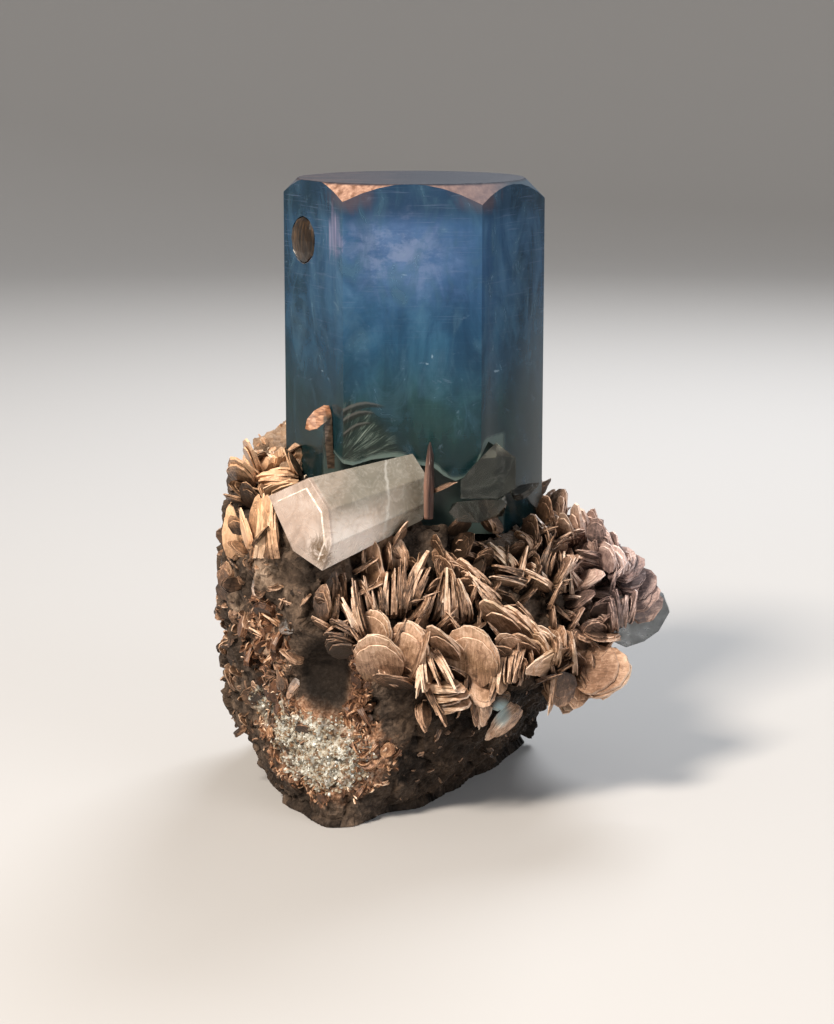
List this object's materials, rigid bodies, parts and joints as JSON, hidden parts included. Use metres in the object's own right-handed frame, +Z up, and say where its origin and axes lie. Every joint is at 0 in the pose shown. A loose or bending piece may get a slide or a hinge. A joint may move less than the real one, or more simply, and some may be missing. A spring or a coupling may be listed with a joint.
{
  "type": "aquamarine crystal specimen",
  "caption": "Stout six-sided aquamarine prism standing in mica-covered matrix rock, with a pale crystal lying across its foot.",
  "frame": {"origin": "on the flat of the rock's foot, under the axis of the blue crystal", "axes": "+Z up along the blue crystal's axis, -Y towards the display side, +X to the viewer's right"},
  "size_m": [0.128, 0.1228, 0.172],
  "materials": {
    "rock": "rough, flaky",
    "aquamarine": "glassy faces, frosted bevel and top",
    "pale_beryl": "cloudy, satin",
    "clear_beryl": "glassy, veiled",
    "smoky_quartz": "smooth, smoky",
    "mica": "pearly, in thin leaves",
    "orange_mica": "pearly",
    "brown_mica": "pearly",
    "plum_mica": "satin",
    "dark_mica": "satin",
    "grey_mica": "pearly, let light through"
  },
  "bodies": {
    "root": {"matrix_rock": "rock", "aquamarine_crystal": "aquamarine", "mica_inclusion": "brown_mica", "pale_crystal": "pale_beryl", "clear_crystal": "clear_beryl", "smoky_crystal": "smoky_quartz", "standing_mica_blade": "plum_mica", "leaning_mica_blade": "mica", "dark_mica_blade": "dark_mica", "cap_mica_flake": "orange_mica", "front_mica_crust": "mica", "left_mica_crust": "mica", "back_mica_crust": "mica", "right_edge_flake": "grey_mica"}
  },
  "joints": []
}
